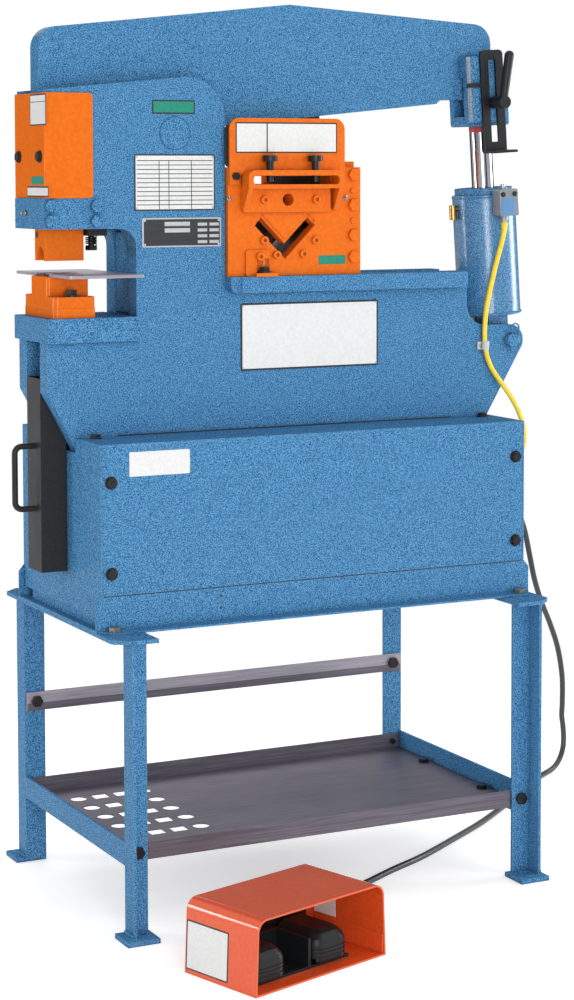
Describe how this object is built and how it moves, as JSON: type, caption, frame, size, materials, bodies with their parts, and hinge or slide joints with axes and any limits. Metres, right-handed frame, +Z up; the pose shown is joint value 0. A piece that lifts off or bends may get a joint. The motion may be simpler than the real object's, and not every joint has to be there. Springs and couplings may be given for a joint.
{
  "type": "hydraulic ironworker",
  "caption": "Floor-standing hydraulic ironworker: a rocking beam drives a punch ram and a shear for angle, round and flat bar, on a cabinet and angle-iron stand with a corded foot switch.",
  "frame": {"origin": "on the floor at the centre of the four anchor holes in the stand's feet", "axes": "+Z up, +X to the cylinder's end, -Y towards the operator"},
  "size_m": [1.3238, 0.9352, 1.517],
  "materials": {
    "blue_paint": "stippled hammer paint",
    "orange_paint": "smooth gloss paint",
    "guard_paint": "smooth gloss paint",
    "black_oxide": "black oxide",
    "black_paint": "semi-gloss paint",
    "bare_steel": "mill finish",
    "hard_chrome": "ground and chromed",
    "zinc_casting": "cast",
    "brass": "machined",
    "grey_paint": "matt paint",
    "tank_plastic": "moulded",
    "black_plastic": "moulded",
    "black_rubber": "extruded jacket",
    "yellow_rubber": "extruded jacket"
  },
  "bodies": {
    "machine": {"left_leg_frame": "blue_paint", "right_leg_frame": "blue_paint", "rear_rail": "bare_steel", "shelf_tray": "bare_steel", "stand_bolts": "black_oxide", "base_tray": "blue_paint", "cabinet_shell": "blue_paint", "front_panel": "blue_paint", "panel_bolts": "black_oxide", "front_side_plate": "blue_paint", "rear_side_plate": "blue_paint", "pivot_pin": "blue_paint", "thrust_washers": "bare_steel", "ram_guide": "blue_paint", "guide_bolts": "blue_paint", "punch_cover": "orange_paint", "station_bolts": "black_oxide", "die_table": "blue_paint", "die_base": "orange_paint", "die_holder": "orange_paint", "punch_die": "black_oxide", "gauge_table": "bare_steel", "stripper_block": "black_oxide", "stripper_spring": "black_oxide", "shear_bed": "blue_paint", "shear_front_plate": "orange_paint", "shear_guard": "orange_paint", "shear_rear_plate": "orange_paint", "shear_bolts": "orange_paint", "fixed_blades": "bare_steel", "hold_down_bracket": "orange_paint", "clevis_pin": "blue_paint", "hairpin_clip": "blue_paint", "power_motor": "grey_paint", "oil_reservoir": "tank_plastic", "pressure_hose": "black_rubber", "switch_lead": "yellow_rubber", "foot_guard": "guard_paint", "pedal_base": "black_plastic", "pedal_cable": "black_rubber"},
    "beam": {"beam": "blue_paint", "blade_holder": "bare_steel", "stop_rail": "blue_paint"},
    "ram": {"ram": "orange_paint"},
    "cylinder": {"cylinder_barrel": "blue_paint", "cylinder_gland": "blue_paint", "breather": "brass", "limit_switch": "zinc_casting"},
    "plunger": {"switch_plunger": "hard_chrome"},
    "rod": {"piston_rod": "hard_chrome", "rod_clevis": "blue_paint", "rod_pin": "bare_steel"},
    "stop": {"stop_bracket": "black_oxide"},
    "lever": {"clamp_lever": "black_oxide"},
    "left_screw": {"left_hold_down_screw": "black_oxide"},
    "right_screw": {"right_hold_down_screw": "black_oxide"},
    "stripper": {"stripper_bolt": "black_oxide"},
    "chute": {"slug_chute": "black_paint"},
    "left_pedal": {"left_treadle": "black_plastic"},
    "right_pedal": {"right_treadle": "black_plastic"}
  },
  "joints": [
    {"name": "beam_rock", "type": "hinge", "parent": "machine", "child": "beam", "pos_m": [-0.216, 0, 1.294], "axis": [0, -1, 0], "range_deg": [-4.5, 3.5]},
    {"name": "ram_slide", "type": "slide", "parent": "machine", "child": "ram", "axis": [0, 0, -1], "range_m": [-0.0145, 0.0113]},
    {"name": "cylinder_swing", "type": "hinge", "parent": "machine", "child": "cylinder", "pos_m": [0.441, 0, 0.926], "axis": [0, -1, 0], "range_deg": [-0.3, 0.3]},
    {"name": "rod_slide", "type": "slide", "parent": "cylinder", "child": "rod", "axis": [-0.0624, 0, 0.9981], "range_m": [-0.0505, 0.0395]},
    {"name": "plunger_push", "type": "slide", "parent": "cylinder", "child": "plunger", "axis": [0.0624, 0, -0.9981], "range_m": [0, 0.005], "stiffness_N_per_m": 800, "springref_m": -0.003},
    {"name": "stop_slide", "type": "slide", "parent": "beam", "child": "stop", "axis": [-0.0624, 0, 0.9981], "range_m": [0, 0.045]},
    {"name": "clamp_turn", "type": "hinge", "parent": "beam", "child": "lever", "pos_m": [0.41436, -0.072, 1.35217], "axis": [0, 1, 0], "range_deg": [-60, 30]},
    {"name": "left_screw_feed", "type": "slide", "parent": "machine", "child": "left_screw", "axis": [0, 0, -1], "range_m": [-0.011, 0.003]},
    {"name": "right_screw_feed", "type": "slide", "parent": "machine", "child": "right_screw", "axis": [0, 0, -1], "range_m": [-0.011, 0.003]},
    {"name": "stripper_push", "type": "slide", "parent": "machine", "child": "stripper", "axis": [0, 0, 1], "range_m": [0, 0.006], "stiffness_N_per_m": 3000, "springref_m": -0.004, "deforming": ["stripper_spring"]},
    {"name": "chute_lift", "type": "slide", "parent": "machine", "child": "chute", "axis": [0, 0, 1], "range_m": [0, 0.025]},
    {"name": "left_pedal_press", "type": "hinge", "parent": "machine", "child": "left_pedal", "pos_m": [-0.21797, -0.43129, 0.032], "axis": [0.9537, 0.3007, 0], "range_deg": [0, 5], "stiffness_Nm_per_rad": 8, "springref_deg": -6.88},
    {"name": "right_pedal_press", "type": "hinge", "parent": "machine", "child": "right_pedal", "pos_m": [-0.21797, -0.43129, 0.032], "axis": [0.9537, 0.3007, 0], "range_deg": [0, 5], "stiffness_Nm_per_rad": 8, "springref_deg": -6.88}
  ],
  "couplings": [
    {"joint": "ram_slide", "follows": "beam_rock", "m_per_rad": 0.182},
    {"joint": "cylinder_swing", "follows": "beam_rock", "ratio": 0.047},
    {"joint": "rod_slide", "follows": "beam_rock", "m_per_rad": 0.6325}
  ]
}
